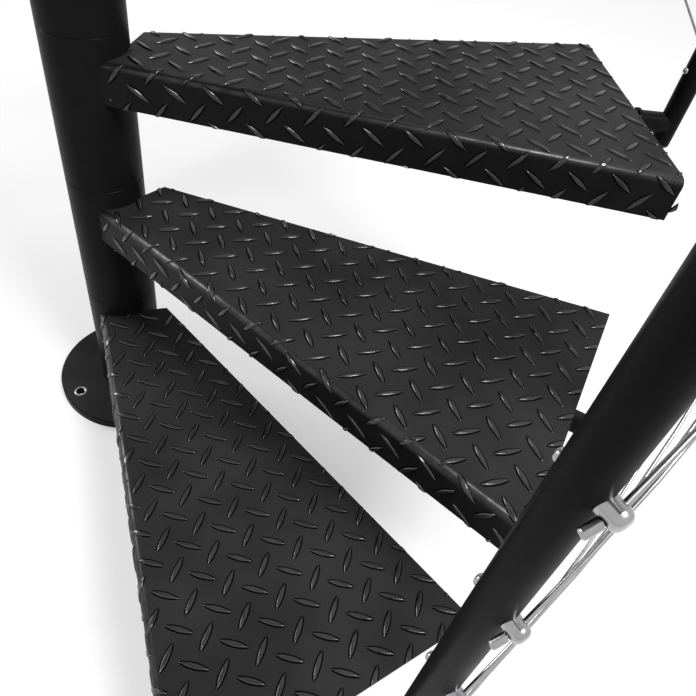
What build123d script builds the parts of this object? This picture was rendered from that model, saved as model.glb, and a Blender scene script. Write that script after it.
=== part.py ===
from build123d import *
import os
from math import atan2, cos, degrees, pi, radians, sin, tan

# Spiral staircase in black coated steel, sizes in mm.
# The column stands on the origin with Z up. The first tread points along +X
# and the flight climbs anticlockwise seen from above.

# ---- flight ----
TREADS = 12
STEP_ANGLE = 30.0
RISE = 200.0
FIRST_RISE = 196.0

# ---- column ----
SLEEVE_D = 101.6
SLEEVE_WALL = 5.0
POLE_WALL = 5.0
POLE_CLEARANCE = 1.35
SEAM_ABOVE_TREAD = 26.0
SEAM_BEVEL = 0.8
BASE_D = 242.0
BASE_T = 15.0
BASE_PCD = 195.0
BASE_HOLE_D = 14.0
BASE_HOLES = 4
BASE_HOLE_ANGLE = 8.0
COLUMN_CAP_T = 6.0

# ---- treads ----
HALF_ANGLE = 11.8
EDGE_OFFSET = 38.2
TREAD_REACH = 671.0
PLATE_T = 4.0
FLANGE_DEPTH = 52.0
BEND_R = 10.0
ROOT_BACK_OUT = 7.2
RIB_T = 10.0
RIB_DEPTH = 36.0
RIB_SHORT = 31.0

# ---- balusters ----
BALUSTER_D = 25.4
BALUSTER_WALL = 2.6
BALUSTER_OUT = 62.8
BALUSTER_BELOW = 48.0
BUSH_D = 26.0
BUSH_DROP = 22.0
BUSH_RING_D = 31.0
BUSH_RING_T = 3.0
BUSH_RING_OUT = 15.0
PLUG_T = 4.0

# ---- rods and their holders ----
RODS = 7
ROD_D = 3.2
ROD_CLEARANCE = 0.15
ROD_FIRST_Z = 47.0
ROD_SPACING = 120.0
ROD_OFF_TUBE = 2.5
ROD_LEAVE = 7.0
HOLDER_D = 12.3
HOLDER_LENGTH = 10.2
HOLDER_DOME = 4.2
CAP_D = 5.6
CAP_LENGTH = 9.8
CAP_DOME = 1.7
CAP_OFF_HOLDER = 0.45
ROD_JOINT_GAP = 0.6

# ---- handrail ----
RAIL_D = 42.4
RAIL_WALL = 2.0
RAIL_HEIGHT = 900.0
RAIL_LEAD = 9.0
RAIL_JOINT_GAP = 0.2
RAIL_PIN_D = 12.0
RAIL_SEAT_CLEARANCE = 0.05
RAIL_CAP_T = 5.0

# ---- landing ----
LANDING_OUT = 74.0
LANDING_RIBS = 3
LANDING_RIB_SPACING = 210.0
LANDING_POST_INSET = 36.0
LANDING_POSTS = 2
LANDING_POST_END = 40.0
LANDING_POST_SPACING = 330.0
LANDING_RAIL_LEAD = 70.0
POST_FOOT_D = 70.0
POST_FOOT_T = 6.0
COLUMN_ABOVE_LANDING = 930.0

# ---- derived sizes ----
SLEEVE_R = SLEEVE_D / 2
SLEEVE_BORE_R = SLEEVE_R - SLEEVE_WALL
POLE_R = SLEEVE_BORE_R - POLE_CLEARANCE
ROOT_BACK_X = SLEEVE_R + ROOT_BACK_OUT
RIB_END_X = TREAD_REACH - RIB_SHORT
BAL_R = BALUSTER_D / 2
BALUSTER_R = TREAD_REACH + BALUSTER_OUT
BUSH_RING_X = TREAD_REACH + BUSH_RING_OUT
ROD_STAND_OFF = BAL_R + ROD_D / 2 + ROD_OFF_TUBE
ROD_END = HOLDER_D / 2 + CAP_OFF_HOLDER
PITCH = RISE * 360.0 / STEP_ANGLE
ROD_R = BALUSTER_R + ROD_STAND_OFF
BOW_ANGLE = radians(STEP_ANGLE / 2 - ROD_LEAVE)
BOW_R = ROD_R * sin(radians(STEP_ANGLE / 2)) / sin(BOW_ANGLE)
BOW_CENTRE = ROD_R * cos(radians(STEP_ANGLE / 2)) - BOW_R * cos(BOW_ANGLE)
EDGE_RISE = EDGE_OFFSET / cos(radians(HALF_ANGLE))
EDGE_SLOPE = tan(radians(HALF_ANGLE))
LANDING_Z = FIRST_RISE + RISE * TREADS
LANDING_REACH = TREAD_REACH + LANDING_OUT
LANDING_POST_LAST = LANDING_REACH - LANDING_POST_END
LANDING_RAIL_END = LANDING_POST_LAST + LANDING_RAIL_LEAD
COLUMN_TOP = LANDING_Z + COLUMN_ABOVE_LANDING
BALUSTER_TOP = RAIL_HEIGHT - RAIL_D / 2 - 24.0


def tread_top(index):
    # height of the walking surface of a tread, the first one being 1
    return FIRST_RISE + RISE * (index - 1)


def tread_angle(index):
    return STEP_ANGLE * (index - 1)


def edge_y(x):
    # half width of a tread at a distance from the column axis
    return EDGE_RISE + EDGE_SLOPE * x


def stair_locations(count):
    # one location a tread, turned and raised with the flight
    return [Location((0, 0, tread_top(i)), (0, 0, tread_angle(i))) for i in range(1, count + 1)]


# landing axes: U along its edge by the flight, V along its edge by the stairwell
landing_plane = Plane.XY.offset(LANDING_Z).rotated((0, 0, tread_angle(TREADS + 1) - HALF_ANGLE))
U_DIR = landing_plane.x_dir
V_DIR = landing_plane.y_dir
POST_U = LANDING_POST_INSET - EDGE_OFFSET
ROD_U = POST_U - ROD_STAND_OFF
POST_V = [LANDING_POST_LAST - LANDING_POST_SPACING * i for i in range(LANDING_POSTS)]


def landing_point(u, v, w=0):
    # a point of the landing from its own axes, w above its walking surface
    return landing_plane.origin + U_DIR * u + V_DIR * v + Vector(0, 0, w)


def landing_spots(height=0):
    # the foot of each landing post, raised by a height, with X across the guard
    feet = [landing_point(POST_U, v, height) for v in POST_V]
    return [Plane(origin=foot, x_dir=-U_DIR, z_dir=(0, 0, 1)).location for foot in feet]


os.makedirs("parts", exist_ok=True)


# ---- base flange, bolted down through four holes ----
with BuildPart() as base_flange:
    Cylinder(BASE_D / 2, BASE_T, align=(Align.CENTER, Align.CENTER, Align.MIN))
    chamfer(base_flange.faces().sort_by(Axis.Z)[-1].edges(), 1.2)
    with Locations(Location((0, 0, 0), (0, 0, BASE_HOLE_ANGLE))):
        with PolarLocations(BASE_PCD / 2, BASE_HOLES):
            Cylinder(BASE_HOLE_D / 2, BASE_T * 3, mode=Mode.SUBTRACT)
base_flange.part.label = "base_flange"
export_step(base_flange.part, "parts/base_flange.step")


# ---- centre pole inside the sleeves ----
with BuildPart() as centre_pole:
    with BuildSketch(Plane.XY.offset(BASE_T)):
        Circle(POLE_R)
        Circle(POLE_R - POLE_WALL, mode=Mode.SUBTRACT)
    extrude(amount=COLUMN_TOP - BASE_T)
centre_pole.part.label = "centre_pole"
export_step(centre_pole.part, "parts/centre_pole.step")


# ---- column sleeves, one a tread, meeting in a bevelled seam ----
seams = [BASE_T] + [tread_top(i) + SEAM_ABOVE_TREAD for i in range(1, TREADS + 2)]
for number in range(1, TREADS + 2):
    low = seams[number - 1]
    high = seams[number]
    with BuildPart() as sleeve:
        with BuildSketch(Plane.XY.offset(low)):
            Circle(SLEEVE_R)
            Circle(SLEEVE_BORE_R, mode=Mode.SUBTRACT)
        extrude(amount=high - low)
        rims = sleeve.edges().filter_by(GeomType.CIRCLE).sort_by(SortBy.RADIUS)[-2:]
        chamfer(rims, SEAM_BEVEL)
    sleeve.part.label = "column_sleeve_%02d" % number
    export_step(sleeve.part, "parts/column_sleeve_%02d.step" % number)

with BuildPart() as column_top_sleeve:
    with BuildSketch(Plane.XY.offset(seams[-1])):
        Circle(SLEEVE_R)
        Circle(SLEEVE_BORE_R, mode=Mode.SUBTRACT)
    extrude(amount=COLUMN_TOP - seams[-1])
    foot_rim = column_top_sleeve.edges().filter_by(GeomType.CIRCLE).sort_by(SortBy.RADIUS)[-2:]
    chamfer(foot_rim, SEAM_BEVEL)
column_top_sleeve.part.label = "column_top_sleeve"
export_step(column_top_sleeve.part, "parts/column_top_sleeve.step")

with BuildPart() as column_cap:
    with Locations((0, 0, COLUMN_TOP)):
        Cylinder(SLEEVE_R + 2, COLUMN_CAP_T, align=(Align.CENTER, Align.CENTER, Align.MIN))
    fillet(column_cap.faces().sort_by(Axis.Z)[-1].edges(), 4.0)
column_cap.part.label = "column_cap"
export_step(column_cap.part, "parts/column_cap.step")


# ---- treads, each a bent plate with a deep front flange ----
front_dir = Vector(cos(radians(-HALF_ANGLE)), sin(radians(-HALF_ANGLE)), 0)
front_in = Vector(sin(radians(HALF_ANGLE)), cos(radians(HALF_ANGLE)), 0)
front_start = front_in * -EDGE_OFFSET
flange_plane = Plane(origin=front_start, x_dir=front_in, z_dir=front_dir)
with BuildPart() as tread:
    with BuildSketch(Plane.XY.offset(-PLATE_T)):
        with BuildLine():
            Polyline(
                (0, -edge_y(0) + BEND_R / cos(radians(HALF_ANGLE))),
                (TREAD_REACH, -edge_y(TREAD_REACH) + BEND_R / cos(radians(HALF_ANGLE))),
                (TREAD_REACH, edge_y(TREAD_REACH)),
                (ROOT_BACK_X, edge_y(ROOT_BACK_X)),
                (SLEEVE_R - 1.8, 14),
                (0, 0),
                close=True,
            )
        make_face()
    extrude(amount=PLATE_T)
    with BuildSketch(flange_plane) as flange_profile:
        with BuildLine():
            Polyline(
                (BEND_R + 5, 0),
                (0, 0),
                (0, -FLANGE_DEPTH),
                (PLATE_T, -FLANGE_DEPTH),
                (PLATE_T, -PLATE_T),
                (BEND_R + 5, -PLATE_T),
                close=True,
            )
        make_face()
        fillet(flange_profile.vertices().sort_by_distance((0, 0))[0], BEND_R)
        fillet(flange_profile.vertices().sort_by_distance((PLATE_T, -PLATE_T))[0], BEND_R - PLATE_T)
    extrude(amount=TREAD_REACH * 1.2)
    with Locations((TREAD_REACH, 0, -FLANGE_DEPTH)):
        Box(300, 700, 200, align=(Align.MIN, Align.CENTER, Align.CENTER), mode=Mode.SUBTRACT)
    Cylinder(SLEEVE_R, 400, mode=Mode.SUBTRACT)
    Box(200, 400, 400, align=(Align.MAX, Align.CENTER, Align.CENTER), mode=Mode.SUBTRACT)
for number, spot in enumerate(stair_locations(TREADS), 1):
    with BuildPart() as placed_tread:
        add(tread.part.moved(spot))
    placed_tread.part.label = "tread_%02d" % number
    export_step(placed_tread.part, "parts/tread_%02d.step" % number)


# ---- ribs welded under the treads along their centre lines ----
with BuildPart() as rib:
    with Locations((0, 0, -PLATE_T)):
        Box(RIB_END_X, RIB_T, RIB_DEPTH, align=(Align.MIN, Align.CENTER, Align.MAX))
    Cylinder(SLEEVE_R, 400, mode=Mode.SUBTRACT)
with BuildPart() as tread_ribs:
    with Locations(*stair_locations(TREADS)):
        add(rib.part)
tread_ribs.part.label = "tread_ribs"
export_step(tread_ribs.part, "parts/tread_ribs.step")


# ---- bushes that hold the balusters off the tread ends ----
with BuildPart() as bush:
    with BuildSketch(Plane.YZ.offset(RIB_END_X)):
        with Locations((0, -BUSH_DROP)):
            Circle(BUSH_D / 2)
    extrude(amount=BALUSTER_R - RIB_END_X)
    with BuildSketch(Plane.YZ.offset(BUSH_RING_X)):
        with Locations((0, -BUSH_DROP)):
            Circle(BUSH_RING_D / 2)
    extrude(amount=BUSH_RING_T)
    with Locations((BALUSTER_R, 0, 0)):
        Cylinder(BAL_R, 400, mode=Mode.SUBTRACT)
with BuildPart() as baluster_bushes:
    with Locations(*stair_locations(TREADS)):
        add(bush.part)
baluster_bushes.part.label = "baluster_bushes"
export_step(baluster_bushes.part, "parts/baluster_bushes.step")


# ---- balusters, one a tread, with a plug in each lower end ----
with BuildPart() as baluster:
    with BuildSketch(Plane.XY.offset(-BALUSTER_BELOW)):
        with Locations((BALUSTER_R, 0)):
            Circle(BAL_R)
            Circle(BAL_R - BALUSTER_WALL, mode=Mode.SUBTRACT)
    extrude(amount=BALUSTER_BELOW + BALUSTER_TOP)
with BuildPart() as balusters:
    with Locations(*stair_locations(TREADS)):
        add(baluster.part)
balusters.part.label = "balusters"
export_step(balusters.part, "parts/balusters.step")

with BuildPart() as plug:
    with Locations((BALUSTER_R, 0, -BALUSTER_BELOW)):
        Cylinder(BAL_R, PLUG_T, align=(Align.CENTER, Align.CENTER, Align.MAX))
    fillet(plug.faces().sort_by(Axis.Z)[0].edges(), 2.5)
with BuildPart() as baluster_end_plugs:
    with Locations(*stair_locations(TREADS)):
        add(plug.part)
baluster_end_plugs.part.label = "baluster_end_plugs"
export_step(baluster_end_plugs.part, "parts/baluster_end_plugs.step")


def run_plane(radius, angle, height, inward=0):
    # plane square to a run at an angle along the flight, height above the first tread,
    # the run being helical or turned inward from that by some degrees
    turn = radians(angle)
    aim = radians(angle + inward)
    lift = atan2(PITCH, 2 * pi * radius)
    along = (-sin(aim) * cos(lift), cos(aim) * cos(lift), sin(lift))
    place = (radius * cos(turn), radius * sin(turn), height + RISE * angle / STEP_ANGLE)
    return Plane(origin=place, x_dir=(cos(turn), sin(turn), 0), z_dir=along)


rod_heights = [ROD_FIRST_Z + ROD_SPACING * i for i in range(RODS)]

# ---- rod holders: domed studs on the outer side of each baluster ----
with BuildPart() as holder:
    with BuildSketch(Plane.YZ.offset(BALUSTER_R)):
        Circle(HOLDER_D / 2)
    extrude(amount=BAL_R + HOLDER_LENGTH)
    fillet(holder.faces().sort_by(Axis.X)[-1].edges(), HOLDER_DOME)
    with Locations((BALUSTER_R, 0, 0)):
        Cylinder(BAL_R, 60, mode=Mode.SUBTRACT)
    with BuildSketch(run_plane(ROD_R, 0, 0, ROD_LEAVE)):
        Circle(ROD_D / 2 + ROD_CLEARANCE)
    extrude(amount=30, mode=Mode.SUBTRACT)
    with BuildSketch(run_plane(ROD_R, 0, 0, -ROD_LEAVE)):
        Circle(ROD_D / 2 + ROD_CLEARANCE)
    extrude(amount=-30, mode=Mode.SUBTRACT)
    with Locations((ROD_R, 0, 0)):
        Sphere(ROD_D / 2 + ROD_CLEARANCE, mode=Mode.SUBTRACT)
with BuildPart() as holder_row:
    with Locations(*[(0, 0, height) for height in rod_heights]):
        add(holder.part)
with BuildPart() as landing_holder:
    with BuildSketch(Plane.YZ):
        Circle(HOLDER_D / 2)
    extrude(amount=BAL_R + HOLDER_LENGTH)
    fillet(landing_holder.faces().sort_by(Axis.X)[-1].edges(), HOLDER_DOME)
    Cylinder(BAL_R, 60, mode=Mode.SUBTRACT)
    with BuildSketch(Plane.XZ):
        with Locations((ROD_STAND_OFF, 0)):
            Circle(ROD_D / 2 + ROD_CLEARANCE)
    extrude(amount=30, both=True, mode=Mode.SUBTRACT)
with BuildPart() as rod_holders:
    with Locations(*stair_locations(TREADS)):
        add(holder_row.part)
    with Locations(*[spot for height in rod_heights for spot in landing_spots(height)]):
        add(landing_holder.part)
rod_holders.part.label = "rod_holders"
export_step(rod_holders.part, "parts/rod_holders.step")


# ---- rods, each length an arc along the flight that butts the next inside a holder ----
def run_location(angle, height):
    # a turn to an angle along the flight, with the rise that goes with it
    return Location((0, 0, FIRST_RISE + height + RISE * angle / STEP_ANGLE), (0, 0, angle))


def run_points(low, high):
    # start, middle and end of a length of rod between two turns in its bay; in plan a rod
    # is flatter than the flight's circle, so it leaves each holder a little inward
    half = radians(STEP_ANGLE / 2)
    points = []
    for turn in (low, (low + high) / 2, high):
        swing = BOW_ANGLE * (2 * turn / STEP_ANGLE - 1)
        x = BOW_CENTRE + BOW_R * cos(swing)
        y = BOW_R * sin(swing)
        points.append((x * cos(half) - y * sin(half), x * sin(half) + y * cos(half), RISE * turn / STEP_ANGLE))
    return points


rod_gap = degrees(ROD_JOINT_GAP / 2 / ROD_R)
last_angle = tread_angle(TREADS)
with BuildPart() as rod_length:
    with BuildLine() as rod_run:
        ThreePointArc(*run_points(rod_gap, STEP_ANGLE - rod_gap))
    with BuildSketch(Plane(origin=rod_run.line @ 0, z_dir=rod_run.line % 0)):
        Circle(ROD_D / 2)
    sweep(path=rod_run.line)
bay_angles = [tread_angle(i) for i in range(1, TREADS)]
with BuildPart() as rail_rods:
    with Locations(*[run_location(angle, height) for height in rod_heights for angle in bay_angles]):
        add(rod_length.part)
rail_rods.part.label = "rail_rods"
export_step(rail_rods.part, "parts/rail_rods.step")


# ---- rounded caps on the rod ends, with a spigot that meets the rod inside the end holder ----
low_end = run_plane(ROD_R, 0, 0, -ROD_LEAVE)
high_end = run_plane(ROD_R, 0, 0, ROD_LEAVE)
with BuildPart() as low_cap:
    with BuildSketch(low_end.offset(-ROD_END)):
        Circle(CAP_D / 2)
    extrude(amount=-CAP_LENGTH)
    fillet(low_cap.faces().filter_by(GeomType.PLANE).sort_by(Axis.Y)[0].edges(), CAP_DOME)
    with BuildSketch(low_end.offset(-ROD_JOINT_GAP / 2)):
        Circle(ROD_D / 2)
    extrude(amount=-ROD_END)
with BuildPart() as high_cap:
    with BuildSketch(high_end.offset(ROD_END)):
        Circle(CAP_D / 2)
    extrude(amount=CAP_LENGTH)
    fillet(high_cap.faces().filter_by(GeomType.PLANE).sort_by(Axis.Y)[-1].edges(), CAP_DOME)
    with BuildSketch(high_end.offset(ROD_JOINT_GAP / 2)):
        Circle(ROD_D / 2)
    extrude(amount=ROD_END)
with BuildPart() as landing_cap:
    with BuildSketch(Plane.XY):
        Circle(CAP_D / 2)
    extrude(amount=CAP_LENGTH)
    fillet(landing_cap.faces().sort_by(Axis.Z)[-1].edges(), CAP_DOME)
landing_ends = [landing_point(ROD_U, LANDING_POST_LAST + ROD_END, height) for height in rod_heights]
with BuildPart() as rod_end_caps:
    with Locations(*[Plane(origin=point, z_dir=V_DIR).location for point in landing_ends]):
        add(landing_cap.part)
    with Locations(*[(0, 0, FIRST_RISE + height) for height in rod_heights]):
        add(low_cap.part)
    with Locations(*[run_location(last_angle, height) for height in rod_heights]):
        add(high_cap.part)
rod_end_caps.part.label = "rod_end_caps"
export_step(rod_end_caps.part, "parts/rod_end_caps.step")


# ---- handrail in lengths that meet midway between balusters ----
rail_gap = degrees(RAIL_JOINT_GAP / 2 / BALUSTER_R)
half_step = STEP_ANGLE / 2
with BuildPart() as rail_end_length:
    with BuildLine() as rail_end_run:
        Helix(PITCH, PITCH * (RAIL_LEAD + half_step - rail_gap) / 360, BALUSTER_R)
    with BuildSketch(Plane(origin=rail_end_run.line @ 0, z_dir=rail_end_run.line % 0)):
        Circle(RAIL_D / 2)
        Circle(RAIL_D / 2 - RAIL_WALL, mode=Mode.SUBTRACT)
    sweep(path=rail_end_run.line, is_frenet=True)
with BuildPart() as rail_length:
    with BuildLine() as rail_run:
        Helix(PITCH, PITCH * (STEP_ANGLE - 2 * rail_gap) / 360, BALUSTER_R)
    with BuildSketch(Plane(origin=rail_run.line @ 0, z_dir=rail_run.line % 0)):
        Circle(RAIL_D / 2)
        Circle(RAIL_D / 2 - RAIL_WALL, mode=Mode.SUBTRACT)
    sweep(path=rail_run.line, is_frenet=True)
low_rail = run_location(-RAIL_LEAD, RAIL_HEIGHT)
high_rail = run_location(last_angle - half_step + rail_gap, RAIL_HEIGHT)
rail_joints = [half_step + rail_gap + STEP_ANGLE * i for i in range(TREADS - 2)]
with BuildPart() as handrail:
    with Locations(low_rail, high_rail):
        add(rail_end_length.part)
    with Locations(*[run_location(angle, RAIL_HEIGHT) for angle in rail_joints]):
        add(rail_length.part)
handrail.part.label = "handrail"
export_step(handrail.part, "parts/handrail.step")

with BuildPart() as handrail_end_caps:
    with BuildSketch(run_plane(BALUSTER_R, -RAIL_LEAD, FIRST_RISE + RAIL_HEIGHT)):
        Circle(RAIL_D / 2)
    extrude(amount=-RAIL_CAP_T)
    fillet(handrail_end_caps.faces().filter_by(GeomType.PLANE).sort_by(Axis.Y)[0].edges(), 3.5)
    with BuildSketch(run_plane(BALUSTER_R, last_angle + RAIL_LEAD, FIRST_RISE + RAIL_HEIGHT)):
        Circle(RAIL_D / 2)
    extrude(amount=RAIL_CAP_T)
    fillet(handrail_end_caps.faces().filter_by(GeomType.PLANE).sort_by(Axis.Z)[-1].edges(), 3.5)
    with BuildSketch(Plane(origin=landing_point(POST_U, LANDING_RAIL_END, RAIL_HEIGHT), z_dir=V_DIR)):
        Circle(RAIL_D / 2)
    extrude(amount=RAIL_CAP_T)
    beyond_rail = landing_point(POST_U, LANDING_RAIL_END + 50, RAIL_HEIGHT)
    fillet(handrail_end_caps.faces().sort_by_distance(beyond_rail)[0].edges(), 3.5)
handrail_end_caps.part.label = "handrail_end_caps"
export_step(handrail_end_caps.part, "parts/handrail_end_caps.step")


# ---- supports between the balusters and the handrail ----
with BuildPart() as support:
    with Locations((BALUSTER_R, 0, BALUSTER_TOP)):
        Cylinder(BAL_R, 5, align=(Align.CENTER, Align.CENTER, Align.MIN))
    fillet(support.faces().sort_by(Axis.Z)[-1].edges(), 2.5)
    with Locations((BALUSTER_R, 0, BALUSTER_TOP)):
        Cylinder(RAIL_PIN_D / 2, RAIL_HEIGHT - BALUSTER_TOP, align=(Align.CENTER, Align.CENTER, Align.MIN))
    with BuildSketch(run_plane(BALUSTER_R, 0, RAIL_HEIGHT)):
        Circle(RAIL_D / 2 + RAIL_SEAT_CLEARANCE)
    extrude(amount=60, both=True, mode=Mode.SUBTRACT)
with BuildPart() as landing_support:
    with Locations((0, 0, BALUSTER_TOP)):
        Cylinder(BAL_R, 5, align=(Align.CENTER, Align.CENTER, Align.MIN))
    fillet(landing_support.faces().sort_by(Axis.Z)[-1].edges(), 2.5)
    with Locations((0, 0, BALUSTER_TOP)):
        Cylinder(RAIL_PIN_D / 2, RAIL_HEIGHT - BALUSTER_TOP, align=(Align.CENTER, Align.CENTER, Align.MIN))
    with BuildSketch(Plane.XZ):
        with Locations((0, RAIL_HEIGHT)):
            Circle(RAIL_D / 2 + RAIL_SEAT_CLEARANCE)
    extrude(amount=60, both=True, mode=Mode.SUBTRACT)
with BuildPart() as handrail_supports:
    with Locations(*stair_locations(TREADS)):
        add(support.part)
    with Locations(*landing_spots()):
        add(landing_support.part)
handrail_supports.part.label = "handrail_supports"
export_step(handrail_supports.part, "parts/handrail_supports.step")


# ---- landing, a square platform made like the treads, one rise above the last ----
def flange_section(plane):
    # the bent edge of the landing, drawn on a plane square to that edge
    with BuildSketch(plane) as section:
        with BuildLine():
            Polyline(
                (BEND_R + 5, 0),
                (0, 0),
                (0, -FLANGE_DEPTH),
                (PLATE_T, -FLANGE_DEPTH),
                (PLATE_T, -PLATE_T),
                (BEND_R + 5, -PLATE_T),
                close=True,
            )
        make_face()
        fillet(section.vertices().sort_by_distance((0, 0))[0], BEND_R)
        fillet(section.vertices().sort_by_distance((PLATE_T, -PLATE_T))[0], BEND_R - PLATE_T)
    return section.sketch


stair_edge = Plane(origin=landing_point(0, -EDGE_OFFSET), x_dir=V_DIR, z_dir=U_DIR)
void_edge = Plane(origin=landing_point(-EDGE_OFFSET, 0), x_dir=U_DIR, z_dir=-V_DIR)
with BuildPart() as landing_plate:
    with BuildSketch(landing_plane.offset(-PLATE_T)):
        with BuildLine():
            Polyline(
                (0, -EDGE_OFFSET + BEND_R),
                (LANDING_REACH, -EDGE_OFFSET + BEND_R),
                (LANDING_REACH, LANDING_REACH),
                (-EDGE_OFFSET + BEND_R, LANDING_REACH),
                (-EDGE_OFFSET + BEND_R, 0),
                (0, 0),
                close=True,
            )
        make_face()
    extrude(amount=PLATE_T)
    extrude(flange_section(stair_edge), amount=LANDING_REACH)
    extrude(flange_section(void_edge), amount=-LANDING_REACH)
    with Locations((0, 0, LANDING_Z)):
        Cylinder(SLEEVE_R, 400, mode=Mode.SUBTRACT)
landing_plate.part.label = "landing_plate"
export_step(landing_plate.part, "parts/landing_plate.step")

with BuildPart() as landing_ribs:
    with BuildSketch(landing_plane.offset(-PLATE_T - RIB_DEPTH)):
        with Locations((LANDING_REACH / 2 + 60, LANDING_REACH / 2)):
            with GridLocations(LANDING_RIB_SPACING, 1, LANDING_RIBS, 1):
                Rectangle(RIB_T, LANDING_REACH - 30)
    extrude(amount=RIB_DEPTH)
landing_ribs.part.label = "landing_ribs"
export_step(landing_ribs.part, "parts/landing_ribs.step")


# ---- landing guard: posts on welded feet, a straight rail and rods ----
with BuildPart() as post_foot:
    Cylinder(POST_FOOT_D / 2, POST_FOOT_T, align=(Align.CENTER, Align.CENTER, Align.MIN))
    chamfer(post_foot.faces().sort_by(Axis.Z)[-1].edges(), 1.0)
with BuildPart() as landing_post_feet:
    with Locations(*landing_spots()):
        add(post_foot.part)
landing_post_feet.part.label = "landing_post_feet"
export_step(landing_post_feet.part, "parts/landing_post_feet.step")

with BuildPart() as post:
    with BuildSketch(Plane.XY.offset(POST_FOOT_T)):
        Circle(BAL_R)
        Circle(BAL_R - BALUSTER_WALL, mode=Mode.SUBTRACT)
    extrude(amount=BALUSTER_TOP - POST_FOOT_T)
with BuildPart() as landing_posts:
    with Locations(*landing_spots()):
        add(post.part)
landing_posts.part.label = "landing_posts"
export_step(landing_posts.part, "parts/landing_posts.step")

with BuildPart() as landing_rail:
    with BuildSketch(Plane(origin=landing_point(POST_U, 0, RAIL_HEIGHT), z_dir=V_DIR)):
        Circle(RAIL_D / 2)
        Circle(RAIL_D / 2 - RAIL_WALL, mode=Mode.SUBTRACT)
    extrude(amount=LANDING_RAIL_END)
    with Locations((0, 0, LANDING_Z + RAIL_HEIGHT)):
        Cylinder(SLEEVE_R, 400, mode=Mode.SUBTRACT)
landing_rail.part.label = "landing_rail"
export_step(landing_rail.part, "parts/landing_rail.step")

with BuildPart() as landing_rods:
    for height in rod_heights:
        with BuildSketch(Plane(origin=landing_point(ROD_U, 0, height), z_dir=V_DIR)):
            Circle(ROD_D / 2)
        extrude(amount=LANDING_POST_LAST + ROD_END)
    with Locations((0, 0, LANDING_Z + RAIL_HEIGHT / 2)):
        Cylinder(SLEEVE_R, RAIL_HEIGHT * 2, mode=Mode.SUBTRACT)
landing_rods.part.label = "landing_rods"
export_step(landing_rods.part, "parts/landing_rods.step")
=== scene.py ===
import logging
import math
import random
from dataclasses import dataclass, field
from enum import Enum
from typing import Iterable, Optional, Sequence

import bmesh
import bpy
from mathutils import Matrix, Vector


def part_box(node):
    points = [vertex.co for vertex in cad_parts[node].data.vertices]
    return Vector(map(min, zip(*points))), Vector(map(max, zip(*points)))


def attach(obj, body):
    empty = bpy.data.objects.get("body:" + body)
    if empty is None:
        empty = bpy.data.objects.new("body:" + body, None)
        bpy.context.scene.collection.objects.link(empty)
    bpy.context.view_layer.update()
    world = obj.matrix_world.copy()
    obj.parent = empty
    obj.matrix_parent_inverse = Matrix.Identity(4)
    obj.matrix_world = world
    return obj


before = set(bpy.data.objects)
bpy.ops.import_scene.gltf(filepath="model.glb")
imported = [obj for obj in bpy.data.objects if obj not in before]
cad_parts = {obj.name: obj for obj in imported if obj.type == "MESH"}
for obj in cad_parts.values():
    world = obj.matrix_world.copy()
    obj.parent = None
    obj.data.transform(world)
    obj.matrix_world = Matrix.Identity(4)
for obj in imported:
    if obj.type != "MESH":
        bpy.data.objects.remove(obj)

# Looks of the spiral staircase: chequer lugs, screws, finishes and studio, in metres.

LOG = logging.getLogger("spiral_staircase")
ROOT = "root"
MIX_FIRST, MIX_SECOND, MIX_RESULT = 6, 7, 2  # colour sockets of Blender's mix node
UPWARD_PART = 2  # Z of a separated vector
EDGE_MARGIN = 0.0002  # how far lugs stop short of a cut edge
SHEET_MARGIN = 0.02  # how far the lattice is laid past the plate
EDGE_ROUNDING = 0.0004  # soft edge of the plates


class Slot(Enum):
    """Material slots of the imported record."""

    TREAD_COAT = "black_tread_coat"
    STAINLESS = "stainless_steel"


class Brushing(Enum):
    """Which way the fine lines of a steel surface run."""

    ALONG_FLIGHT = "along_flight"
    TURNED = "turned"


# ---------------------------------------------------------------- shader wiring


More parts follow.
